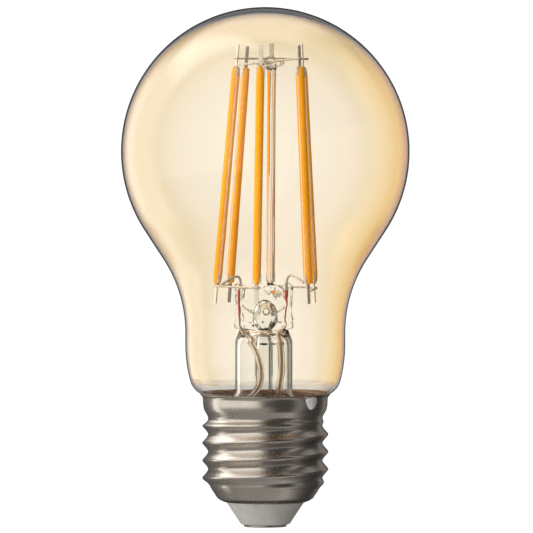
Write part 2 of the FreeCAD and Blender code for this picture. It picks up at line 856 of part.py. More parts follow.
# ---- Build and export ----------------------------------------------------------------------
def build_parts():
    parts = {}
    parts["glass_envelope"] = glass_envelope()
    parts["amber_coating"] = amber_coating()
    parts["stem_flare_and_press"] = stem()
    parts["exhaust_tube"] = exhaust_tube()
    parts["centre_rod"] = centre_rod()
    crossing = head_wires()
    parts["top_bead"] = top_bead(crossing)
    for name, wire in zip(("front_to_back", "front_right_to_left", "back_right_to_left"), crossing):
        parts["head_wire_" + name] = wire
    for name, stops in foot_wire_stops.items():
        parts["foot_wire_" + name] = foot_wire(stops)
    chips = []
    for name, foot, head, upper_tab_length in filament_places:
        length = filament_length(foot, head)
        frame = filament_frame(foot, head)
        local = {
            "phosphor": phosphor(length),
            "strip": filament_strip(length),
            "terminals": terminals(length, upper_tab_length),
        }
        for piece, shape in local.items():
            shape.Placement = frame
            parts["filament_" + name + "_" + piece] = shape
        row = chip_row(length)
        row.Placement = frame
        chips.extend(row.Solids)
    parts["led_chips"] = Part.makeCompound(chips)
    for side, name in ((-1, "left"), (1, "right")):
        parts["lead_wire_" + name] = lead_wire_solid(side)
        parts["seal_wire_" + name] = seal_wire_solid(side)
        parts["lead_conductor_" + name] = lead_conductor(side)
        parts["lead_sleeve_" + name] = lead_sleeve(side)
    shell = cap_shell()
    neutral = neutral_lead()
    solder = side_solder(shell, parts["glass_envelope"], neutral)
    parts["cap_shell"] = shell
    parts["cap_insulator"] = cap_insulator(shell)
    parts["centre_contact"] = centre_contact()
    parts["contact_solder"] = contact_solder()
    parts["side_solder"] = solder
    parts["cement_ring"] = cement_ring(shell, parts["glass_envelope"], neutral, solder)
    parts["live_wire"] = live_lead()
    parts["neutral_wire"] = neutral
    parts["driver_liner"] = ring(liner_radius, liner_radius - liner_wall, liner_low_z, liner_top_z)
    parts["driver_board"] = driver_board()
    parts["bulk_capacitor"] = bulk_capacitor()
    parts["power_inductor"] = power_inductor()
    parts["bridge_rectifier"] = bridge_rectifier()
    parts["driver_chip"] = driver_chip()
    parts["dimming_transistor"] = dimming_transistor()
    parts["film_capacitor"] = film_capacitor()
    parts["fusible_resistor"] = fusible_resistor()
    parts["board_chip_parts"] = board_chip_parts()
    parts["radio_board"] = radio_board()
    parts["radio_shield"] = radio_shield()
    parts["chip_antenna"] = chip_antenna()
    parts["radio_pins"] = radio_pins()
    return parts


os.makedirs("parts", exist_ok=True)
for node, shape in build_parts().items():
    shape.exportStep("parts/" + node + ".step")
    print(node, "valid" if shape.isValid() else "NOT VALID", len(shape.Solids), round(shape.Volume, 2))
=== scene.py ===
import json
import math

import bmesh
import bpy
from mathutils import Matrix, Vector, noise


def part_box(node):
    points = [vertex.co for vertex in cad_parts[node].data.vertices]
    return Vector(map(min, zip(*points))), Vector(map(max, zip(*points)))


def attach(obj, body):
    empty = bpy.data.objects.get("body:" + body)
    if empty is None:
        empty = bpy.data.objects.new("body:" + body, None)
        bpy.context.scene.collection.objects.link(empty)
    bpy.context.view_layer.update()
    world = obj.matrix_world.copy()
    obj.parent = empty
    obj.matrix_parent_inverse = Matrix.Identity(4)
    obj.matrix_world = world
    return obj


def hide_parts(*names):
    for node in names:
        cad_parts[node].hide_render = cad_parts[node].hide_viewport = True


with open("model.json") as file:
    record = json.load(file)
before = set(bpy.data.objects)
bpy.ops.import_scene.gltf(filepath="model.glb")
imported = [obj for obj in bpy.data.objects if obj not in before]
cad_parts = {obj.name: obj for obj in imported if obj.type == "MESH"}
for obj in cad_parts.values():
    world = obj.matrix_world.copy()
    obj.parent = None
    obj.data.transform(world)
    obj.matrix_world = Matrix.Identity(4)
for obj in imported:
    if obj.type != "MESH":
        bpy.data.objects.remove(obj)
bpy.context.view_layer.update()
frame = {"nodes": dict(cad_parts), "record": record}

# Smart filament bulb: glass, filaments, mount wires and cap, built around the CAD frame.
# Sizes are in millimetres and are turned into metres when a mesh is made.
MM = 0.001

# ---- Sizes taken over from the CAD model ---------------------------------------------------
glass_low, glass_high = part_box("glass_envelope")
shell_low, shell_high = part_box("cap_shell")
globe_radius = min(glass_high[0], -glass_low[0], glass_high[1], -glass_low[1]) / MM
overall_height = glass_high[2] / MM
seal_z = glass_low[2] / MM
collar_top_z = shell_high[2] / MM
shell_low_z = shell_low[2] / MM
rim_flare_radius = min(shell_high[0], -shell_low[0], shell_high[1], -shell_low[1]) / MM

neck_radius = 16.64
hollow_radius = 28.05
neck_top_z = 40.3
neck_low_z = 38.0
shoulder_radius = 30.0
shoulder_turn = 14.68
rim_radius = 4.5
rim_turn = 66.0
curl_radius = 1.6
glass_wall = 0.26
crown_wall = 0.7
coat_edge_z = 29.5
coat_fade = 0.8            # height over which the lacquer thins out to its edge
seal_fade_low = 29.6       # below this the glass is tinted greyer
seal_fade_high = 30.4

stem_x = -0.3
flare_tube_radius = 5.95
flare_wall = 0.9
flare_rim_radius = 11.85
flare_curve = 3.2
press_top_z = 49.7
column_x = 4.95
exhaust_radius = 1.87
blister_centre = (0.0, -1.2, 43.7)
rod_foot = Vector((1.0, 0.0, 50.3))
rod_head = Vector((1.6, 0.0, 95.6))
bead_z = 96.7

# Each filament's name, foot (x, y), head (x, y) and the length of its upper tab.
filament_places = [
    ("front", (-1.8, -10.9), (-1.0, -7.2), 4.2),
    ("front_right", (8.8, -6.6), (7.1, -4.2), 4.4),
    ("back_right", (10.1, 3.9), (7.8, 2.6), 5.0),
    ("back", (1.1, 10.8), (1.3, 7.2), 5.3),
    ("back_left", (-7.4, 7.9), (-4.1, 5.3), 4.6),
    ("front_left", (-10.0, -3.8), (-6.0, -2.7), 4.6),
]
filament_foot_z = 50.5
filament_head_z = 95.8
strip_width = 1.74
strip_thickness = 0.4
phosphor_width = 1.62
phosphor_height = 0.7
tab_width = 0.95
tab_thickness = 0.3
mount_wire = 0.44
# The wires across the top, by the filament each starts from, with the heights of its two ends.
head_wire_heights = [(96.15, 96.2), (97.3, 96.35), (97.45, 97.4)]
# The bent wires at the bottom: the filaments each one joins, and its height at each.
foot_wire_stops = {
    "left": ((0, 49.9), (5, 50.1), (4, 50.0)),
    "right": ((1, 49.2), (2, 49.6), (3, 49.9)),
}

thread_pitch = 3.629
crest_round = 0.3
valley_radius = 11.9
thread_major = 13.12
thread_phase_z = 15.5855
thread_fade_in = (8.0, 9.8)
thread_fade_out = (20.9, 22.7)


# ---- Mesh helpers --------------------------------------------------------------------------
def piece_from(name, mesh, slot, *nodes):
    """Puts a mesh into the scene as a piece of the bulb that stands for those CAD nodes."""
    piece = bpy.data.objects.new(name, mesh)
    bpy.context.collection.objects.link(piece)
    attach(piece, "root")
    if nodes:
        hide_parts(*nodes)
    return piece


def mesh_from(name, points, faces):
    mesh = bpy.data.meshes.new(name)
    mesh.from_pydata([tuple(c * MM for c in p) for p in points], [], faces)
    mesh.validate()
    for polygon in mesh.polygons:
        polygon.use_smooth = True
    return mesh


def ring_grid(rings, closed_loop, pole_start=None, pole_end=None):
    """Points and quads from equal rings; the loop of rings is closed, or its ends get poles."""
    around = len(rings[0])
    points = [p for ring in rings for p in ring]
    faces = []
    count = len(rings)
    spans = count if closed_loop else count - 1
    for i in range(spans):
        a = i * around
        b = ((i + 1) % count) * around
        for j in range(around):
            k = (j + 1) % around
            faces.append((a + j, a + k, b + k, b + j))
    for pole, start in ((pole_start, 0), (pole_end, (count - 1) * around)):
        if pole is None:
            continue
        points.append(pole)
        for j in range(around):
            k = (j + 1) % around
            faces.append((len(points) - 1, start + k, start + j) if pole is pole_start else
                         (len(points) - 1, start + j, start + k))
    return points, faces


def lathe(outline, steps, wobble=None):
    """Turned surface from an outline of (radius, height). An end at radius 0 becomes a pole."""
    poles = [None, None]
    body = list(outline)
    if body[0][0] == 0:
        poles[0] = (0.0, 0.0, body.pop(0)[1])
    if body[-1][0] == 0:
        poles[1] = (0.0, 0.0, body.pop()[1])
    rings = []
    for radius, height in body:
        ring = []
        for j in range(steps):
            turn = 2 * math.pi * j / steps
            r, z = (radius, height) if wobble is None else wobble(radius, height, turn)
            ring.append((r * math.cos(turn), r * math.sin(turn), z))
        rings.append(ring)
    return ring_grid(rings, poles == [None, None], *poles)


def arc(centre, radius, start, end, count):
    """Points on an arc, from angle start to end in degrees."""
    points = []
    for i in range(count + 1):
        turn = math.radians(start + (end - start) * i / count)
        points.append((centre[0] + radius * math.cos(turn), centre[1] + radius * math.sin(turn)))
    return points


def smooth_route(points, per_run=10):
    """Even smooth curve through the middles of the runs, as a quadratic spline."""
    points = [Vector(p) for p in points]
    if len(points) == 2:
        return points
    middles = [points[0]] + [(a + b) / 2 for a, b in zip(points[1:-2], points[2:-1])] + [points[-1]]
    route = [points[0]]
    for start, corner, end in zip(middles, points[1:-1], middles[1:]):
        for i in range(1, per_run + 1):
            t = i / per_run
            route.append(start * (1 - t) ** 2 + corner * 2 * t * (1 - t) + end * t ** 2)
    return route


def tube(route, radius, sides=20, bore=0.0):
    """Round wire, rod or sleeve along a route; radius is a number or a function of 0 to 1."""
    def size(t):
        return radius(t) if callable(radius) else radius

    frames = []
    side = None
    for i, point in enumerate(route):
        ahead = route[min(i + 1, len(route) - 1)]
        behind = route[max(i - 1, 0)]
        along = (ahead - behind).normalized()
        if side is None:
            side = along.orthogonal().normalized()
        side = (side - along * side.dot(along)).normalized()
        frames.append((point, side, along.cross(side)))

    def ring(frame_at, r):
        centre, u, v = frame_at
        turns = [2 * math.pi * j / sides for j in range(sides)]
        return [tuple(centre + u * (r * math.cos(a)) + v * (r * math.sin(a))) for a in turns]

    last = len(frames) - 1
    rings = [ring(f, size(i / last)) for i, f in enumerate(frames)]
    if bore:
        rings += [ring(f, bore) for f in reversed(frames)]
        return ring_grid(rings, True)
    first = ring(frames[0], size(0) * 0.8)
    final = ring(frames[-1], size(1) * 0.8)
    rings = [first] + rings + [final]
    return ring_grid(rings, False, tuple(frames[0][0]), tuple(frames[-1][0]))


def blob(centre, radii, rough=0.0, seed=0.0, around=40, up=24):
    """Ellipsoid with a slightly uneven skin."""
    rings = []
    for i in range(1, up):
        lean = math.pi * i / up - math.pi / 2
        reach = math.cos(lean)
        ring = []
        for j in range(around):
            turn = 2 * math.pi * j / around
            direction = Vector((reach * math.cos(turn), reach * math.sin(turn), math.sin(lean)))
            swell = 1 + rough * noise.noise(direction * 1.7 + Vector((seed, 0, 0)))
            ring.append(tuple(centre[n] + direction[n] * radii[n] * swell for n in range(3)))
        rings.append(ring)
    low = (centre[0], centre[1], centre[2] - radii[2])
    high = (centre[0], centre[1], centre[2] + radii[2])
    return ring_grid(rings, False, low, high)


def fused(name, parts, voxel, passes, ripple=None):
    """One melted skin round overlapping closed parts, with an optional ripple along its normals."""
    rough = bpy.data.objects.new(name, facing_out(mesh_from(name, *merged(*parts))))
    bpy.context.collection.objects.link(rough)
    remesh = rough.modifiers.new("melt", "REMESH")
    remesh.mode = "VOXEL"
    remesh.voxel_size = voxel * MM
    smooth = rough.modifiers.new("flow", "SMOOTH")
    smooth.iterations = passes
    smooth.factor = 0.5
    finished = rough.evaluated_get(bpy.context.evaluated_depsgraph_get())
    result = bpy.data.meshes.new_from_object(finished)
    bpy.data.objects.remove(rough)
    if ripple:
        moves = [v.normal * ripple(v.co / MM) * MM for v in result.vertices]
        for vertex, move in zip(result.vertices, moves):
            vertex.co += move
    for polygon in result.polygons:
        polygon.use_smooth = True
    return result


def facing_out(mesh):
    """Turns all the faces of a closed mesh outwards."""
    bm = bmesh.new()
    bm.from_mesh(mesh)
    bmesh.ops.recalc_face_normals(bm, faces=bm.faces)
    bm.to_mesh(mesh)
    bm.free()
    return mesh


# ---- Materials -----------------------------------------------------------------------------
def new_material(name):
    material = bpy.data.materials.new(name)
    material.use_nodes = True
    tree = material.node_tree
    shader = tree.nodes["Principled BSDF"]
    return material, tree, shader


def node(tree, kind, **values):
    made = tree.nodes.new(kind)
    for key, value in values.items():
        setattr(made, key, value)
    return made


def math_node(tree, operation, *values):
    made = node(tree, "ShaderNodeMath", operation=operation)
    for number, value in enumerate(values):
        if isinstance(value, (int, float)):
            made.inputs[number].default_value = value
        else:
            tree.links.new(value, made.inputs[number])
    return made.outputs[0]


def slope(tree, value, start, end, low=0.0, high=1.0):
    """Smooth change from low to high as value goes from start to end."""
    made = node(tree, "ShaderNodeMapRange", interpolation_type="SMOOTHSTEP")
    made.inputs["From Min"].default_value = start
    made.inputs["From Max"].default_value = end
    made.inputs["To Min"].default_value = low
    made.inputs["To Max"].default_value = high
    tree.links.new(value, made.inputs["Value"])
    return made.outputs["Result"]


def noise_at(tree, scale, detail=3.0, stretch=(1, 1, 1)):
    """Noise in the object's own metres, so that its grain is the same size everywhere."""
    place = node(tree, "ShaderNodeTexCoord")
    mapping = node(tree, "ShaderNodeMapping")
    mapping.inputs["Scale"].default_value = stretch
    grain = node(tree, "ShaderNodeTexNoise")
    grain.inputs["Scale"].default_value = scale
    grain.inputs["Detail"].default_value = detail
    tree.links.new(place.outputs["Object"], mapping.inputs["Vector"])
    tree.links.new(mapping.outputs["Vector"], grain.inputs["Vector"])
    return grain.outputs["Fac"]


def ramp(tree, source, stops):
    """Colour ramp from (position, colour) stops."""
    made = node(tree, "ShaderNodeValToRGB")
    elements = made.color_ramp.elements
    while len(elements) < len(stops):
        elements.new(0.5)
    for element, (position, colour) in zip(elements, stops):
        element.position = position
        element.color = (*colour, 1)
    tree.links.new(source, made.inputs["Fac"])
    return made.outputs["Color"]


def spread(tree, source, low, high):
    """Maps a 0 to 1 value onto a range."""
    made = node(tree, "ShaderNodeMapRange")
    made.inputs["To Min"].default_value = low
    made.inputs["To Max"].default_value = high
    tree.links.new(source, made.inputs["Value"])
    return made.outputs["Result"]


def add_bump(tree, shader, source, strength, depth_mm):
    bump = node(tree, "ShaderNodeBump")
    bump.inputs["Strength"].default_value = strength
    bump.inputs["Distance"].default_value = depth_mm * MM
    tree.links.new(source, bump.inputs["Height"])
    tree.links.new(bump.outputs["Normal"], shader.inputs["Normal"])


def solid_material(name, dark, light, rough, metallic=0.0, grain=900.0, bump=0.15, stretch=(1, 1, 1)):
    """Opaque finish whose colour, roughness and surface vary with a fine grain."""
    material, tree, shader = new_material(name)
    fine = noise_at(tree, grain, 4.0, stretch)
    shader.inputs["Metallic"].default_value = metallic
    tree.links.new(ramp(tree, fine, [(0.3, dark), (0.7, light)]), shader.inputs["Base Color"])
    tree.links.new(spread(tree, fine, rough - 0.05, rough + 0.07), shader.inputs["Roughness"])
    add_bump(tree, shader, fine, bump, 0.02)
    return material


def facing_away(tree):
    """0 where a surface is seen square on, 1 where it is seen at a slant."""
    made = node(tree, "ShaderNodeLayerWeight")
    made.inputs["Blend"].default_value = 0.5
    return made.outputs["Facing"]


def height_in_bulb(tree):
    """Height above the contact, in metres."""
    parts = node(tree, "ShaderNodeSeparateXYZ")
    tree.links.new(node(tree, "ShaderNodeTexCoord").outputs["Object"], parts.inputs["Vector"])
    return parts.outputs["Z"]


def lets_lamps_through(tree, shader, clear_colour):
    """Light that is on its way to or from what is inside passes the glass straight."""
    path = node(tree, "ShaderNodeLightPath")
    straight = math_node(tree, "MAXIMUM", path.outputs["Is Shadow Ray"], path.outputs["Is Diffuse Ray"])
    clear = node(tree, "ShaderNodeBsdfTransparent")
    clear.inputs["Color"].default_value = (*clear_colour, 1)
    mix = node(tree, "ShaderNodeMixShader")
    tree.links.new(straight, mix.inputs["Fac"])
    tree.links.new(shader.outputs["BSDF"], mix.inputs[1])
    tree.links.new(clear.outputs["BSDF"], mix.inputs[2])
    tree.links.new(mix.outputs["Shader"], tree.nodes["Material Output"].inputs["Surface"])


def glass_material(name, stops, ripple, seal_tint=(1, 1, 1)):
    """Clear soda glass with a faint ripple. Where it is seen at a slant its colour darkens, a little from its
    own tint and mostly as painted shade along its edges; low on the neck it is greyer.
    """
    material, tree, shader = new_material(name)
    # Multiplies the facing ramp (the glass's own tint plus painted shade along the edges) by the greyer neck
    # colour below the seal fade.
    tint_and_edge_shade = node(tree, "ShaderNodeMix", data_type="RGBA", blend_type="MULTIPLY")
    tint_and_edge_shade.inputs["B"].default_value = (*seal_tint, 1)
    sealed = slope(tree, height_in_bulb(tree), seal_fade_low * MM, seal_fade_high * MM, 1.0, 0.0)
    tree.links.new(sealed, tint_and_edge_shade.inputs["Factor"])
    tree.links.new(ramp(tree, facing_away(tree), stops), tint_and_edge_shade.inputs["A"])
    tree.links.new(tint_and_edge_shade.outputs["Result"], shader.inputs["Base Color"])
    shader.inputs["Roughness"].default_value = 0.0
    shader.inputs["IOR"].default_value = 1.5
    shader.inputs["Specular Tint"].default_value = (0.45, 0.45, 0.45, 1)
    shader.inputs["Transmission Weight"].default_value = 1.0
    add_bump(tree, shader, noise_at(tree, 160.0, 1.0), ripple, 0.05)
    lets_lamps_through(tree, shader, (0.96, 0.96, 0.96))
    return material


def coat_material():
    """Transparent amber lacquer, deeper where it is seen at a slant."""
    material, tree, shader = new_material("amber_lacquer")
    tree.nodes.remove(shader)
    cloud = noise_at(tree, 45.0, 2.0)
    uneven = math_node(tree, "MULTIPLY_ADD", cloud, 0.1, facing_away(tree))
    colour = ramp(tree, uneven, [
        (0.05, (0.997, 0.972, 0.920)),
        (0.22, (0.984, 0.952, 0.897)),
        (0.41, (0.978, 0.934, 0.845)),
        (0.68, (0.985, 0.917, 0.772)),
        (0.92, (0.990, 0.870, 0.600)),
    ])
    thin = node(tree, "ShaderNodeMix", data_type="RGBA")
    thin.inputs["A"].default_value = (1, 1, 1, 1)
    fade = slope(tree, height_in_bulb(tree), coat_edge_z * MM, (coat_edge_z + coat_fade) * MM)
    tree.links.new(fade, thin.inputs["Factor"])
    tree.links.new(colour, thin.inputs["B"])
    clear = node(tree, "ShaderNodeBsdfTransparent")
    tree.links.new(thin.outputs["Result"], clear.inputs["Color"])
    tree.links.new(clear.outputs["BSDF"], tree.nodes["Material Output"].inputs["Surface"])
    return material


def phosphor_material():
    """Orange silicone with fine paler specks."""
    material, tree, shader = new_material("phosphor_silicone")
    fine = noise_at(tree, 2600.0, 5.0)
    tree.links.new(
        ramp(tree, fine, [(0.3, (0.95, 0.37, 0.003)), (0.7, (1.0, 0.47, 0.011))]),
        shader.inputs["Base Color"])
    tree.links.new(spread(tree, fine, 0.42, 0.56), shader.inputs["Roughness"])
    shader.inputs["Specular IOR Level"].default_value = 0.25
    shader.inputs["Subsurface Weight"].default_value = 0.25
    shader.inputs["Subsurface Radius"].default_value = (1.0, 0.45, 0.08)
    shader.inputs["Subsurface Scale"].default_value = 0.0006
    add_bump(tree, shader, fine, 0.12, 0.02)
    return material


def sleeve_material():
    """Peach silicone sleeve, half clear."""
    material, tree, shader = new_material("silicone_sleeve")
    fine = noise_at(tree, 700.0, 3.0)
    tree.links.new(
        ramp(tree, fine, [(0.3, (0.94, 0.80, 0.65)), (0.7, (0.97, 0.88, 0.76))]),
        shader.inputs["Base Color"])
    tree.links.new(spread(tree, fine, 0.04, 0.12), shader.inputs["Roughness"])
    shader.inputs["IOR"].default_value = 1.41
    shader.inputs["Transmission Weight"].default_value = 0.88
    add_bump(tree, shader, fine, 0.08, 0.02)
    lets_lamps_through(tree, shader, (0.8, 0.7, 0.6))
    return material


def nickel_material():
    """Satin nickel plate: fine grain round the cap, soft smudges, and slightly warm."""
    material, tree, shader = new_material("satin_nickel_plate")
    grain = noise_at(tree, 2200.0, 4.0, (1, 1, 1.6))
    smudge = noise_at(tree, 120.0, 2.0)
    shader.inputs["Metallic"].default_value = 1.0
    shader.inputs["Specular Tint"].default_value = (0.4, 0.4, 0.41, 1)
    tree.links.new(
        ramp(tree, smudge, [(0.3, (0.62, 0.55, 0.475)), (0.7, (0.69, 0.62, 0.545))]),
        shader.inputs["Base Color"])
    tree.links.new(spread(tree, grain, 0.21, 0.34), shader.inputs["Roughness"])
    add_bump(tree, shader, grain, 0.14, 0.012)
    return material


# Dark and light colour and roughness; where they differ from the usual, metallic, grain and bump.
solid_finishes = {
    "ceramic_strip": ((0.85, 0.50, 0.28), (0.98, 0.66, 0.42), 0.35),
    "steel_terminal": ((0.7, 0.69, 0.67), (0.86, 0.85, 0.83), 0.25, 0.5, 1500.0),
    "led_die": ((0.5, 0.55, 0.7), (0.7, 0.75, 0.85), 0.3),
    "nickel_wire": ((0.62, 0.58, 0.53), (0.86, 0.82, 0.77), 0.25, 0.6, 1800.0),
    "copper_clad_seal_wire": ((0.38, 0.05, 0.035), (0.62, 0.13, 0.08), 0.35, 0.3, 900.0),
    "tinned_wire": ((0.12, 0.12, 0.13), (0.24, 0.23, 0.23), 0.35, 0.8, 1200.0),
    "grey_insulator": ((0.27, 0.253, 0.23), (0.33, 0.31, 0.285), 0.42, 0.0, 500.0),
    "brass_contact": ((0.50, 0.45, 0.36), (0.66, 0.61, 0.51), 0.35, 1.0, 700.0),
    "solder": ((0.62, 0.61, 0.59), (0.84, 0.83, 0.81), 0.2, 0.4, 900.0, 0.3),
    "brown_cement": ((0.15, 0.06, 0.025), (0.40, 0.20, 0.10), 0.5, 0.0, 1100.0, 0.6),
    "fish_paper": ((0.10, 0.045, 0.02), (0.2, 0.1, 0.05), 0.7, 0.0, 900.0, 0.3),
    "board_laminate": ((0.01, 0.06, 0.025), (0.02, 0.12, 0.05), 0.35, 0.0, 600.0),
    "capacitor_sleeve": ((0.006, 0.006, 0.01), (0.02, 0.02, 0.03), 0.3),
    "ferrite": ((0.02, 0.02, 0.022), (0.06, 0.06, 0.062), 0.55, 0.0, 1200.0, 0.4),
    "chip_epoxy": ((0.008, 0.008, 0.008), (0.03, 0.03, 0.03), 0.5, 0.0, 2000.0),
    "film_capacitor_case": ((0.45, 0.22, 0.02), (0.6, 0.33, 0.05), 0.3),
    "resistor_coat": ((0.06, 0.16, 0.13), (0.1, 0.24, 0.2), 0.4),
    "chip_ceramic": ((0.42, 0.38, 0.32), (0.6, 0.56, 0.5), 0.4),
    "shield_can": ((0.5, 0.5, 0.5), (0.68, 0.68, 0.68), 0.3, 1.0, 900.0),
}
materials = {name: solid_material(name, *values) for name, values in solid_finishes.items()}
# In both glass ramps the darkest stops, at a steep slant, are painted shade along the edges; the pale stops
# are the glass's own tint.
materials["clear_glass"] = glass_material(
    "clear_glass", [(0.86, (0.99, 0.988, 0.985)), (0.95, (0.33, 0.31, 0.26))], 0.003, (0.80, 0.78, 0.75))
materials["stem_glass"] = glass_material(
    "stem_glass",
    [(0.38, (0.97, 0.975, 0.975)), (0.55, (0.86, 0.86, 0.86)), (0.95, (0.38, 0.38, 0.39))], 0.06)
materials["amber_lacquer"] = coat_material()
materials["phosphor_silicone"] = phosphor_material()
materials["silicone_sleeve"] = sleeve_material()
materials["satin_nickel_plate"] = nickel_material()


def finish_piece(name, points_and_faces, slot, *nodes, material=None):
    """Makes a piece from points and faces, in its slot's material unless another is named."""
    mesh = facing_out(mesh_from(name, *points_and_faces))
    mesh.materials.append(materials[material or slot])
    return piece_from(name, mesh, slot, *nodes)


# ---- Bulb glass and coat -------------------------------------------------------------------
def bulb_side(wall, crown, low_z, fine=1.0):
    """Half outline of the bulb from its crown to the seal, set in by wall."""
    ball = globe_radius - wall
    ball_centre = (0.0, overall_height - globe_radius)
    hollow = hollow_radius + wall
    hollow_centre = (neck_radius + hollow_radius, neck_top_z)
    dx = hollow_centre[0] - ball_centre[0]
    dz = hollow_centre[1] - ball_centre[1]
    swing = math.acos(min(1.0, (ball + hollow) / math.hypot(dx, dz)))
    tangent = math.degrees(math.atan2(dz, dx) + swing)
    shoulder_centre = (neck_radius - shoulder_radius, neck_low_z)
    turn = math.radians(shoulder_turn)
    rim_reach = shoulder_radius - rim_radius
    rim_centre = (
        shoulder_centre[0] + rim_reach * math.cos(turn),
        shoulder_centre[1] - rim_reach * math.sin(turn))
    turn = math.radians(rim_turn)
    curl_reach = rim_radius + curl_radius
    curl_centre = (
        rim_centre[0] + curl_reach * math.cos(turn),
        rim_centre[1] - curl_reach * math.sin(turn))
    curl = curl_radius + wall
    side = []
    for r, z in arc(ball_centre, ball, 90, tangent, int(90 * fine)):
        above = max(0.0, (z - ball_centre[1]) / ball)
        shrink = 1 - (crown - wall) * above ** 5 / ball
        side.append((r * shrink, ball_centre[1] + (z - ball_centre[1]) * shrink))
    side[0] = (0, side[0][1])
    side += arc(hollow_centre, hollow, 180 + tangent, 180, int(30 * fine))
    side += arc(shoulder_centre, shoulder_radius - wall, 0, -shoulder_turn, int(14 * fine))
    side += arc(rim_centre, rim_radius - wall, -shoulder_turn, -rim_turn, int(14 * fine))[1:]
    side += arc(curl_centre, curl, 180 - rim_turn, 180, int(10 * fine))[1:]
    side.append((curl_centre[0] - curl, low_z))
    return [(r, z) for r, z in side if z >= low_z]


def build_bulb_glass():
    outer = bulb_side(0, 0, seal_z)
    inner = bulb_side(glass_wall, crown_wall, seal_z)
    finish_piece("bulb_glass", lathe(outer + inner[::-1], 256), "clear_glass", "glass_envelope")


def build_coat():
    """Thin lacquer skin just inside the glass, ending in a ragged edge above the cap."""
    gap = 0.03
    skin = 0.05
    ragged_height = 2.5

    def ragged(radius, height, turn):
        near_edge = max(0.0, 1 - (height - coat_edge_z) / ragged_height)
        wave = noise.noise(Vector((9 * math.cos(turn), 9 * math.sin(turn), 0.3)))
        fine = noise.noise(Vector((42 * math.cos(turn), 42 * math.sin(turn), 1.7)))
        return radius, height + near_edge * (0.35 * wave + 0.3 * fine)

    outer = bulb_side(glass_wall + gap, crown_wall + gap, coat_edge_z, 1.2)
    inner = []
    for r, z in outer:
        depth = skin * min(1.0, 0.05 + (z - coat_edge_z) / 4)
        inner.append((max(0.0, r - depth), z - (depth if r == 0 else 0)))
    finish_piece("amber_coat", lathe(outer + inner[::-1], 288, ragged), "amber_lacquer", "amber_coating")


# ---- Glass stem ----------------------------------------------------------------------------
def oval_ring(half_x, half_y, z, steps=96):
    turns = [2 * math.pi * j / steps for j in range(steps)]
    return [(stem_x + half_x * math.cos(a), half_y * math.sin(a), z) for a in turns]


def flare_rings(wall, start):
    """Rings of the flared foot and its tube, set in by wall, from the rim up to the shoulder."""
    centre = (flare_tube_radius + flare_curve, seal_z + flare_curve)
    return [oval_ring(r, r, z) for r, z in arc(centre, flare_curve + wall, start, 180, 20)]


def stem_outside():
    """Flare, tube, shoulder and flat press as one solid."""
    rings = [oval_ring(flare_rim_radius, flare_rim_radius, z) for z in (seal_z - flare_wall, seal_z)]
    rings += flare_rings(0, 270)
    low_z, high_z = 38.2, 41.6
    press_half_x, press_half_y = 5.0, 1.2
    for i in range(1, 17):
        t = i / 16
        ease = t * t * (3 - 2 * t)
        rings.append(oval_ring(
            flare_tube_radius + (press_half_x - flare_tube_radius) * ease,
            flare_tube_radius + (press_half_y - flare_tube_radius) * ease,
            low_z + (high_z - low_z) * t))
    rings.append(oval_ring(4.95, 0.95, 47.0))
    rings.append(oval_ring(4.95, 0.8, press_top_z - 0.5))
    rings.append(oval_ring(4.6, 0.5, press_top_z))
    return ring_grid(rings, False, (stem_x, 0, seal_z - flare_wall), (stem_x, 0, press_top_z + 0.05))


def stem_hollow():
    """Space between the flare tube and the pumping tube, closed where the press begins."""
    inner = flare_tube_radius - flare_wall
    outer_rings = flare_rings(flare_wall, 258)
    low_z, high_z = 37.4, 41.0
    narrowing = 2.0 - inner
    for i in range(1, 21):
        t = i / 20
        ease = 1 - math.sqrt(1 - t * t)
        outer_rings.append(oval_ring(
            inner + narrowing * ease, inner + narrowing * ease ** 0.8, low_z + (high_z - low_z) * t))
    inner_rings = [oval_ring(exhaust_radius, exhaust_radius, ring[0][2]) for ring in outer_rings[::-1]]
    return ring_grid(outer_rings + inner_rings, True)


def add_hollow(mesh, hollow):
    """Adds an inward facing skin to a solid's mesh."""
    skin = facing_out(hollow)
    bm = bmesh.new()
    bm.from_mesh(skin)
    bmesh.ops.reverse_faces(bm, faces=bm.faces)
    bm.from_mesh(mesh)
    bm.to_mesh(mesh)
    bm.free()
    for polygon in mesh.polygons:
        polygon.use_smooth = True


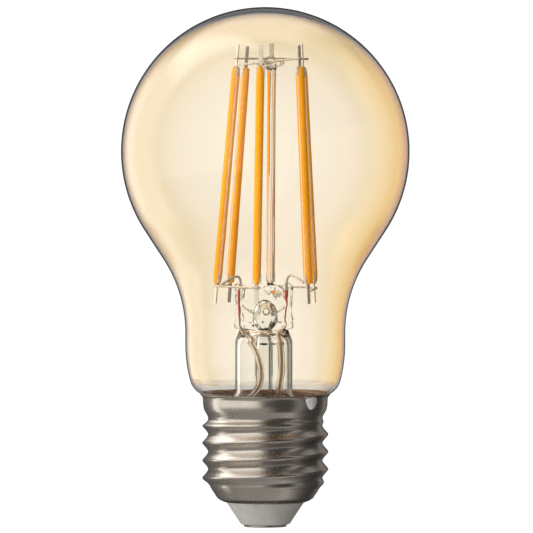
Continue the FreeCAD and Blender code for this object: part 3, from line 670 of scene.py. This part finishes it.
def build_stem():
    parts = [stem_outside()]
    for side in (-1, 1):
        x = stem_x + side * column_x
        column = [(x + side * 0.15, 0, 41.2), (x + side * 0.1, 0, 45.0), (x, 0, press_top_z + 0.2)]
        parts.append(tube(smooth_route(column), lambda t: 0.95 + 0.13 * math.sin(9 * t), 32))
        parts.append(blob((x, -0.05, press_top_z + 0.1), (1.15, 1.0, 0.95), 0.25, side))
        fold = [(x, -0.1, 46.9), (x * 0.6, -0.7, 45.6), (x * 0.3, -1.0, 44.9)]
        parts.append(tube(smooth_route(fold), lambda t: 0.75 + 0.25 * t, 24))
        crease = [(x * 1.05, 0.1, 42.6), (x * 0.6, -0.9, 41.7), (x * 0.25, -1.2, 41.3)]
        parts.append(tube(smooth_route(crease), lambda t: 0.8 + 0.2 * t, 24))
    parts.append(blob(blister_centre, (2.55, 2.8, 3.5), 0.05, 4.0))
    parts.append(blob((1.5, -0.1, 49.3), (2.0, 1.0, 1.1), 0.2, 7.0))
    parts.append(tube([Vector((stem_x, 0, z)) for z in (21.7, 22.2, 23.0, 26.0)], exhaust_radius, 48))
    mesh = fused("stem_glass", parts, 0.15, 5, melt_ripple)
    bore_route = [Vector((stem_x, 0, z)) for z in (23.0, 30.0, 36.0, 41.5)]
    hollow = fused("stem_bore", [
        tube(bore_route, 1.1, 48),
        blob(blister_centre, (1.8, 1.95, 2.75), 0.08, 2.0),
        blob((blister_centre[0] + 0.2, -3.3, 44.9), (0.72, 0.5, 0.8), 0.05, 5.0),
    ], 0.13, 6)
    add_hollow(mesh, hollow)
    add_hollow(mesh, mesh_from("stem_hollow", *stem_hollow()))
    mesh.materials.clear()
    mesh.materials.append(materials["stem_glass"])
    piece_from("stem_glass", mesh, "clear_glass", "stem_flare_and_press", "exhaust_tube")


def melt_ripple(point):
    """Depth of the pinched and melted unevenness of the press at a point, in millimetres."""
    near = smooth_step(40.0, 42.0, point.z) * (1 - smooth_step(50.5, 51.5, point.z))
    return 0.16 * near * noise.noise(point * 0.85)


def build_rod_and_bead():
    route = [rod_foot.lerp(rod_head, i / 40) for i in range(41)]
    for i, point in enumerate(route):
        point.x += 0.05 * math.sin(i * 0.35)
    finish_piece(
        "centre_rod_glass", tube(route, lambda t: 0.64 + 0.02 * math.sin(11 * t), 48, 0.3),
        "clear_glass", "centre_rod", material="stem_glass")
    x = rod_head.x
    parts = [
        blob((x - 0.55, -0.1, bead_z + 0.1), (1.75, 1.55, 1.2), 0.14, 1.0),
        blob((x + 1.15, 0.1, bead_z + 0.0), (1.2, 1.25, 0.95), 0.14, 3.0),
        blob((x - 0.8, -0.5, bead_z - 1.0), (0.75, 0.8, 0.75), 0.1, 5.0),
        blob((x + 0.1, 0.1, bead_z - 0.9), (0.8, 0.8, 0.7), 0.1, 6.0),
    ]
    mesh = fused("bead_glass", parts, 0.09, 5)
    mesh.materials.append(materials["stem_glass"])
    piece_from("bead_glass", mesh, "clear_glass", "top_bead")


# ---- Filaments -----------------------------------------------------------------------------
def filament_frame(foot, head):
    """Matrix with local X across the strip, Y outwards and Z from foot to head, and the length."""
    start = Vector((*foot, filament_foot_z))
    run = Vector((*head, filament_head_z)) - start
    along = run.normalized()
    outward = Vector((*foot, 0))
    outward = (outward - along * outward.dot(along)).normalized()
    across = outward.cross(along)
    turn = Matrix((across, outward, along)).transposed().to_4x4()
    return Matrix.Translation(start) @ turn, run.length


def placed(points_and_faces, matrix):
    points, faces = points_and_faces
    return [tuple(matrix @ Vector(p)) for p in points], faces


def merged(*parts):
    points, faces = [], []
    for part_points, part_faces in parts:
        base = len(points)
        points += part_points
        faces += [tuple(base + i for i in face) for face in part_faces]
    return points, faces


def dome(length, side, seed):
    """Half-round bead of phosphor along one face of the strip, with pointed ends."""
    nose = 1.9
    steps = 90
    across = 18
    rings = []
    for i in range(steps + 1):
        t = i / steps
        z = length * (0.5 - 0.5 * math.cos(math.pi * t))
        from_end = min(z, length - z) / nose
        taper = 1.0 if from_end >= 1 else math.sqrt(max(0.0, 1 - (1 - from_end) ** 1.7))
        taper = max(taper, 0.03)
        swell = 1 + 0.035 * noise.noise(Vector((seed, side, z * 0.23)))
        half = phosphor_width / 2 * taper * swell
        tall = phosphor_height * (0.35 + 0.65 * taper) * swell
        ring = []
        for j in range(across + 1):
            turn = math.pi * j / across
            ring.append((half * math.cos(turn), side * (strip_thickness / 2 + tall * math.sin(turn)), z))
        rings.append(ring)
    end_low = (0, side * strip_thickness / 2, 0)
    end_high = (0, side * strip_thickness / 2, length)
    return ring_grid(rings, False, end_low, end_high)


def plate(half_x, half_y, low, high, bevel):
    """Flat bar along Z with its long edges taken off."""
    in_x, in_y = half_x - bevel, half_y - bevel
    outline = [
        (half_x, in_y), (in_x, half_y), (-in_x, half_y), (-half_x, in_y),
        (-half_x, -in_y), (-in_x, -half_y), (in_x, -half_y), (half_x, -in_y),
    ]
    rings = [[(x, y, z) for x, y in outline] for z in (low, high)]
    return ring_grid(rings, False, (0, 0, low), (0, 0, high))


def build_filament(number, name, foot, head, upper_tab):
    matrix, length = filament_frame(foot, head)
    prefix = "filament_" + name
    domes = merged(dome(length, -1, number), dome(length, 1, number + 9))
    finish_piece(prefix + "_phosphor_domes", placed(domes, matrix), "phosphor_silicone", prefix + "_phosphor")
    strip = plate(strip_width / 2, strip_thickness / 2, 2.0, length - 2.0, 0.04)
    finish_piece(prefix + "_ceramic", placed(strip, matrix), "ceramic_strip", prefix + "_strip")
    half = strip_width / 2
    clips = merged(
        plate(half + 0.06, 0.27, 0.3, 2.1, 0.05),
        plate(half + 0.06, 0.27, length - 2.1, length - 0.3, 0.05),
        plate(tab_width / 2, tab_thickness / 2, -4.0, 0.4, 0.03),
        plate(tab_width / 2, tab_thickness / 2, length - 0.4, length + upper_tab, 0.03),
    )
    finish_piece(prefix + "_end_tabs", placed(clips, matrix), "steel_terminal", prefix + "_terminals")
    for piece_name in ("_ceramic", "_end_tabs"):
        for polygon in bpy.data.objects[prefix + piece_name].data.polygons:
            polygon.use_smooth = False


# ---- Wires ---------------------------------------------------------------------------------
def tab_edge(foot, head, z, side):
    """Middle of a wire that touches one edge of a filament's tab at height z."""
    matrix, length = filament_frame(foot, head)
    reach = (z - filament_foot_z) / (filament_head_z - filament_foot_z) * length
    beside = (tab_width + mount_wire) / 2 + 0.03
    return matrix @ Vector((side * beside, 0, reach))


def build_head_wires():
    names = ("front_to_back", "front_right_to_left", "back_right_to_left")
    for number, (name, (near_z, far_z)) in enumerate(zip(names, head_wire_heights)):
        near = filament_places[number]
        far = filament_places[number + 3]
        a = tab_edge(near[1], near[2], near_z, 1)
        b = tab_edge(far[1], far[2], far_z, -1)
        past_tab = (b - a).normalized()
        start, end = a - past_tab, b + past_tab
        finish_piece(
            "cross_wire_" + name, tube([start.lerp(end, i / 12) for i in range(13)], mount_wire / 2),
            "nickel_wire", "head_wire_" + name)


def build_foot_wires():
    outside = (tab_thickness + mount_wire) / 2 + 0.35
    for name, stops in foot_wire_stops.items():
        points = []
        for number, height in stops:
            foot, head = filament_places[number][1:3]
            matrix = filament_frame(foot, head)[0]
            points.append(matrix @ Vector((0, outside, height - filament_foot_z)))
        first = points[0] + (points[0] - points[1]).normalized() * 0.9
        last = points[-1] + (points[-1] - points[-2]).normalized() * 0.9
        bend = points[1]
        route = [first, first.lerp(bend, 0.8), bend, bend.lerp(last, 0.2), last]
        finish_piece(
            "pole_wire_" + name, tube(smooth_route(route), mount_wire / 2),
            "nickel_wire", "foot_wire_" + name)


lead_wire_routes = {
    "left": [(-5.4, 0, 49.4), (-4.9, -0.2, 51.3), (-6.1, -1.4, 52.6), (-8.9, -4.0, 50.5)],
    "right": [(4.5, 0, 49.4), (4.2, -0.4, 51.5), (5.6, -2.4, 52.9), (8.0, -5.6, 50.9)],
}
seal_wire_routes = {
    "left": [(-5.4, 0, 49.3), (-5.45, 0, 46.5), (-5.35, 0, 44.0), (-5.35, 0, 41.9)],
    "right": [(4.5, 0, 49.3), (4.45, 0, 46.5), (4.3, 0, 44.0), (4.2, 0, 41.9)],
}
conductor_routes = {
    "left": [
        (-5.33, 0, 41.75), (-4.2, -1.3, 40.2), (-2.5, -2.9, 38.0), (-1.3, -3.3, 35.2), (-0.8, -3.4, 32.3),
        (-1.1, -3.4, 29.6), (-2.4, -3.3, 27.3), (-4.2, -2.4, 25.0), (-5.0, -0.9, 22.9), (-5.2, 0.85, 21.3),
        (-5.2, 1.27, 19.4)],
    "right": [
        (4.2, 0, 41.75), (3.3, -1.0, 40.3), (3.0, -2.2, 38.2), (3.15, -2.7, 35.4), (3.2, -2.8, 32.4),
        (2.8, -3.0, 29.7), (2.6, -3.0, 27.4), (2.9, -2.6, 25.2), (3.3, -1.2, 23.0), (3.4, 0.9, 21.3),
        (3.4, 1.27, 19.4)],
}


def build_leads():
    for side in ("left", "right"):
        finish_piece(
            "loop_lead_" + side, tube(smooth_route(lead_wire_routes[side], 14), 0.26),
            "nickel_wire", "lead_wire_" + side)
        finish_piece(
            "copper_seal_" + side, tube(smooth_route(seal_wire_routes[side]), lambda t: 0.22 - 0.07 * t),
            "copper_clad_seal_wire", "seal_wire_" + side)
        route = smooth_route(conductor_routes[side])
        finish_piece("lead_core_" + side, tube(route, 0.18), "tinned_wire", "lead_conductor_" + side)
        covered = [p for p in route if 21.4 < p.z < 40.9]
        finish_piece(
            "lead_insulation_" + side, tube(covered, 0.64, 32, 0.25),
            "silicone_sleeve", "lead_sleeve_" + side)


# ---- Cap -----------------------------------------------------------------------------------
cap_side = [
    (shell_low_z, 8.5), (shell_low_z + 0.2, 9.0), (5.9, 9.9), (6.8, 10.55), (8.2, 11.4), (9.0, 11.75),
    (9.8, valley_radius), (12.0, valley_radius), (22.3, valley_radius), (22.9, 11.98), (23.6, 12.35),
    (24.4, 12.75), (25.4, 12.94), (26.6, 13.0), (27.1, 13.16), (collar_top_z - 0.05, rim_flare_radius - 0.02),
]


def smooth_step(low, high, value):
    t = min(1.0, max(0.0, (value - low) / (high - low)))
    return t * t * (3 - 2 * t)


def side_radius(z):
    """Radius of the plain shell at a height, on a smooth curve through the outline's points."""
    points = cap_side
    i = 0
    while i < len(points) - 2 and z > points[i + 1][0]:
        i += 1
    before = points[max(i - 1, 0)]
    a, b = points[i], points[i + 1]
    after = points[min(i + 2, len(points) - 1)]
    span = b[0] - a[0]
    t = min(1.0, max(0.0, (z - a[0]) / span))

    def steepness(low, mid, high):
        left = (mid[1] - low[1]) / max(mid[0] - low[0], 1e-6)
        right = (high[1] - mid[1]) / max(high[0] - mid[0], 1e-6)
        if low is mid:
            return right
        if mid is high:
            return left
        return 0.0 if left * right <= 0 else 2 * left * right / (left + right)

    start = steepness(before, a, b) * span
    end = steepness(a, b, after) * span
    return (
        a[1] * (2 * t ** 3 - 3 * t ** 2 + 1) + start * (t ** 3 - 2 * t ** 2 + t)
        + b[1] * (3 * t ** 2 - 2 * t ** 3) + end * (t ** 3 - t ** 2))


def thread_height(z, turn):
    """How far the rolled thread stands out of its valley at a height and angle."""
    crest = thread_phase_z + thread_pitch * turn / (2 * math.pi)
    offset = (z - crest) / thread_pitch
    distance = abs(offset - round(offset)) * thread_pitch
    half = thread_pitch / 2
    slant = (math.hypot(distance, crest_round) - crest_round) / (math.hypot(half, crest_round) - crest_round)
    height = (1 - slant) ** 1.5 * (thread_major - valley_radius)
    return height * smooth_step(*thread_fade_in, z) * (1 - smooth_step(*thread_fade_out, z))


def build_cap_shell():
    steps, rows = 270, 230
    sheet = 0.33
    heights = [shell_low_z + (collar_top_z - shell_low_z) * i / rows for i in range(rows + 1)]

    def ring(z, inset):
        points = []
        for j in range(steps):
            turn = 2 * math.pi * j / steps
            r = side_radius(z) + thread_height(z, turn) - inset
            points.append((r * math.cos(turn), r * math.sin(turn), z))
        return points

    outside = [ring(z, 0) for z in heights]
    inside = [ring(z, sheet) for z in heights[::-2]]
    finish_piece("threaded_shell", ring_grid(outside + inside, True), "satin_nickel_plate", "cap_shell")


def build_insulator_and_contact():
    insulator = [
        (0.5, 0.5), (4.9, 0.5), (5.15, 0.65), (8.0, shell_low_z - 0.2), (8.1, shell_low_z + 0.1),
        (8.1, shell_low_z + 0.7), (9.4, 6.4), (9.4, 7.0), (0.5, 7.0)]
    finish_piece("insulator_body", lathe(rounded(insulator, 0.25), 128), "grey_insulator", "cap_insulator")
    cup_radius, cup_top_z = 1.5, 0.25
    contact = [
        (cup_radius, cup_top_z), (cup_radius, 0.06), (1.6, 0.0), (4.3, 0.0), (4.46, 0.08), (4.5, 0.25),
        (4.5, 0.5), (0.32, 0.5), (0.32, cup_top_z)]
    finish_piece("contact_disc", lathe(contact, 96), "brass_contact", "centre_contact")
    dished = [(cup_radius * i / 12, 0.05 + 0.04 * (i / 12) ** 2) for i in range(1, 13)]
    drop = [(0, 0.05)] + dished + [(cup_radius, cup_top_z), (0, cup_top_z)]
    finish_piece("contact_solder_drop", lathe(drop, 64), "solder", "contact_solder")


def rounded(outline, radius):
    """Closed outline with each corner cut by a small curve."""
    result = []
    count = len(outline)
    for i, corner in enumerate(outline):
        here = Vector(corner)
        before = Vector(outline[i - 1]) - here
        after = Vector(outline[(i + 1) % count]) - here
        cut = min(radius, before.length * 0.4, after.length * 0.4)
        start = here + before.normalized() * cut
        end = here + after.normalized() * cut
        for k in range(5):
            t = k / 4
            result.append(tuple(start * (1 - t) ** 2 + here * 2 * t * (1 - t) + end * t ** 2))
    return result


def build_cement():
    """Brown ring of baked cement squeezed up between the glass and the collar."""
    def lumpy(radius, height, turn):
        rough = noise.noise(Vector((radius * math.cos(turn) * 1.3, radius * math.sin(turn) * 1.3, height)))
        return radius, height + (0.1 * rough if height > 27.3 else 0)

    outline = [
        (12.22, 25.3), (12.62, 25.3), (12.62, 26.7), (12.85, 27.1), (13.15, 27.4), (13.3, 27.55),
        (13.2, 27.68), (13.05, 27.45), (12.8, 27.1), (12.5, 26.8), (12.3, 26.4), (12.22, 25.9)]
    finish_piece("cement_fillet", lathe(rounded(outline, 0.1), 256, lumpy), "brown_cement", "cement_ring")


def build_side_solder():
    """Drop of solder that hangs down the collar from its rim, narrower towards its lower end."""
    turn = math.radians(-43.0)
    outward = Vector((math.cos(turn), math.sin(turn), 0))
    along = Vector((-math.sin(turn), math.cos(turn), 0))
    up_axis = Vector((0, 0, 1))
    collar_radius, middle_z = 13.0, 26.75
    middle = outward * collar_radius + up_axis * middle_z
    rise, hang = 0.72, 2.1
    half_width, depth = 1.55, 0.62
    rows, around = 22, 40
    rings = []
    for i in range(1, rows):
        lean = math.pi * i / rows - math.pi / 2
        up = math.sin(lean)
        width = half_width * (1 - 0.18 * max(0.0, -up))
        ring = []
        for j in range(around):
            a = 2 * math.pi * j / around
            side = math.cos(lean) * math.cos(a)
            out = math.cos(lean) * math.sin(a)
            height = up * (rise if up > 0 else hang)
            ring.append(tuple(middle + outward * (depth * out) + along * (side * width) + up_axis * height))
        rings.append(ring)
    low = tuple(middle - up_axis * hang)
    high = tuple(middle + up_axis * rise)
    finish_piece("rim_solder_drop", ring_grid(rings, False, low, high), "solder", "side_solder")


# ---- CAD nodes that are shown as they are ----------------------------------------------------
def dress_cad_nodes():
    slots = {part["node"]: part["material_slot"] for part in frame["record"]["subparts"]}
    for name, cad_object in frame["nodes"].items():
        material = materials[slots[name]]
        cad_object.data.materials.clear()
        cad_object.data.materials.append(material)


# ---- Studio --------------------------------------------------------------------------------
def seen_directly(tree):
    """Two factors that are 1 for rays that see the studio: straight, and through clear glass."""
    path = node(tree, "ShaderNodeLightPath")
    bounces = math_node(tree, "ADD", path.outputs["Diffuse Depth"], path.outputs["Glossy Depth"])
    fresh = math_node(tree, "LESS_THAN", bounces, 0.5)
    through = math_node(tree, "MULTIPLY", path.outputs["Is Transmission Ray"], fresh)
    return path.outputs["Is Camera Ray"], through


def band(tree, value, rise, fall):
    """1 between two soft edges, each given as the (start, end) of its slope."""
    return math_node(tree, "MULTIPLY", slope(tree, value, *rise), slope(tree, value, *fall, 1.0, 0.0))


def choose(tree, factor, plain, special):
    """plain where the factor is 0, special where it is 1."""
    made = node(tree, "ShaderNodeMix", data_type="FLOAT")
    for socket, value in (("Factor", factor), ("A", plain), ("B", special)):
        if isinstance(value, (int, float)):
            made.inputs[socket].default_value = value
        else:
            tree.links.new(value, made.inputs[socket])
    return made.outputs["Result"]


backdrop_light = 1.06
room_glow = 0.06           # what reflections see where there is no light
room_fill = 0.33           # the same for matt surfaces
flag_light = 0.24


def build_world():
    """White surround to look at; for light, a soft bright panel on the left and a dim right side."""
    world = bpy.data.worlds.new("studio")
    bpy.context.scene.world = world
    world.use_nodes = True
    world.cycles.sampling_method = "NONE"
    tree = world.node_tree
    place = node(tree, "ShaderNodeTexCoord")
    parts = node(tree, "ShaderNodeSeparateXYZ")
    tree.links.new(place.outputs["Generated"], parts.inputs["Vector"])
    x, y, z = parts.outputs
    azimuth = math_node(tree, "ARCTAN2", x, math_node(tree, "MULTIPLY", y, -1.0))
    azimuth = math_node(tree, "MULTIPLY", azimuth, 180 / math.pi)

    # Shapes of the lights that reflections see, each from 0 to 1. Azimuths are in degrees from the front.
    panel = math_node(
        tree, "MULTIPLY",
        band(tree, azimuth, (-112, -82), (-16, -5)), band(tree, z, (-0.34, -0.2), (0.9, 1.0)))
    far_left = math_node(
        tree, "MULTIPLY", band(tree, azimuth, (-160, -132), (-110, -90)), slope(tree, z, -0.75, -0.5))
    strip = math_node(
        tree, "MULTIPLY", band(tree, azimuth, (52, 66), (70, 86)), slope(tree, z, 0.1, 0.4, 0.3, 0.6))
    top_back = math_node(tree, "MULTIPLY", slope(tree, y, 0.1, 0.3), slope(tree, z, 0.5, 0.7))
    top_back = math_node(tree, "MULTIPLY", top_back, slope(tree, x, 0.15, 0.45, 1.0, 0.25))
    floor_left = math_node(
        tree, "MULTIPLY", band(tree, azimuth, (-120, -60), (0, 25)), slope(tree, z, -0.3, -0.18, 1.0, 0.0))
    floor_under = math_node(
        tree, "MULTIPLY", slope(tree, z, -0.84, -0.6, 1.0, 0.0), band(tree, azimuth, (-160, -100), (80, 140)))
    floor_glow = math_node(tree, "MAXIMUM", floor_left, floor_under)
    back = math_node(
        tree, "MULTIPLY", band(tree, y, (0.62, 0.8), (0.92, 0.97)), slope(tree, z, -0.45, -0.25))
    lights = [(panel, 1.1), (far_left, 1.7), (strip, 0.75), (top_back, 1.4), (floor_glow, 0.27), (back, 0.42)]
    glossy = room_glow
    for shape, strength in lights:
        glossy = math_node(tree, "MULTIPLY_ADD", shape, strength, glossy)

    soft_side = band(tree, azimuth, (-190, -120), (-35, 45))
    matte = math_node(tree, "MULTIPLY_ADD", soft_side, 1.6, room_fill)

    sideways = slope(tree, math_node(tree, "ABSOLUTE", y), 0.66, 0.93, 0.12, backdrop_light)
    sideways = math_node(tree, "MAXIMUM", sideways, slope(tree, z, 0.15, 0.45, 0.0, 0.85))
    path = node(tree, "ShaderNodeLightPath")
    camera_ray, through_glass = seen_directly(tree)
    strength = choose(tree, path.outputs["Is Diffuse Ray"], glossy, matte)
    strength = choose(tree, through_glass, strength, sideways)
    strength = choose(tree, camera_ray, strength, backdrop_light)
    tree.links.new(strength, tree.nodes["Background"].inputs["Strength"])
    tree.nodes["Background"].inputs["Color"].default_value = (1, 1, 1, 1)


def studio_card(name, corners, material):
    card = bpy.data.objects.new(name, mesh_from(name, corners, [(0, 1, 2, 3)]))
    bpy.context.collection.objects.link(card)
    card.data.materials.append(material)
    return card


def build_floor():
    """Plain white floor that the bulb stands on, as bright as the backdrop."""
    size = 4000.0
    z = -0.01
    material, tree, shader = new_material("white_floor")
    tree.nodes.remove(shader)
    glow = node(tree, "ShaderNodeEmission")
    glow.inputs["Strength"].default_value = backdrop_light
    clear = node(tree, "ShaderNodeBsdfTransparent")
    mix = node(tree, "ShaderNodeMixShader")
    camera_ray, through_glass = seen_directly(tree)
    tree.links.new(math_node(tree, "MAXIMUM", camera_ray, through_glass), mix.inputs["Fac"])
    tree.links.new(clear.outputs["BSDF"], mix.inputs[1])
    tree.links.new(glow.outputs["Emission"], mix.inputs[2])
    tree.links.new(mix.outputs["Shader"], tree.nodes["Material Output"].inputs["Surface"])
    studio_card("floor", [(-size, -size, z), (size, -size, z), (size, size, z), (-size, size, z)], material)


def build_flag():
    """Dim grey card beside the cap that keeps the far left light off its edge."""
    low_z, high_z = -30.0, 27.6
    near, far = -1.0, 400.0
    side = -25.0
    corners = [(side, near, low_z), (side, far, low_z), (side, far, high_z), (side, near, high_z)]
    material, tree, shader = new_material("grey_card")
    tree.nodes.remove(shader)
    glow = node(tree, "ShaderNodeEmission")
    glow.inputs["Strength"].default_value = flag_light
    tree.links.new(glow.outputs["Emission"], tree.nodes["Material Output"].inputs["Surface"])
    flag = studio_card("flag", corners, material)
    flag.visible_camera = False
    flag.visible_diffuse = False
    flag.visible_transmission = False
    flag.visible_shadow = False


def build_camera():
    """Long lens, a little above the bulb's middle."""
    frame_width = 110.8
    distance = 1150.0
    target = Vector((0.25, 0.0, 54.1))
    height = 74.0
    camera_data = bpy.data.cameras.new("camera")
    camera_data.sensor_width = 36.0
    camera_data.lens = camera_data.sensor_width * distance / frame_width
    camera_data.clip_end = 20.0
    camera = bpy.data.objects.new("camera", camera_data)
    bpy.context.collection.objects.link(camera)
    camera.location = Vector((0.25, -distance, height)) * MM
    aim = target * MM - camera.location
    camera.rotation_euler = aim.to_track_quat("-Z", "Y").to_euler()
    bpy.context.scene.camera = camera


def set_view():
    scene = bpy.context.scene
    scene.view_settings.view_transform = "Standard"
    scene.cycles.max_bounces = 40
    scene.cycles.transmission_bounces = 40
    scene.cycles.transparent_max_bounces = 40
    scene.cycles.glossy_bounces = 6
    scene.cycles.diffuse_bounces = 4


# ---- Build ---------------------------------------------------------------------------------
build_camera()
build_world()
build_floor()
build_flag()
set_view()
dress_cad_nodes()
build_bulb_glass()
build_coat()
build_stem()
build_rod_and_bead()
for number, place in enumerate(filament_places):
    build_filament(number, *place)
build_head_wires()
build_foot_wires()
build_leads()
build_cap_shell()
build_insulator_and_contact()
build_cement()
build_side_solder()

bpy.context.view_layer.update()
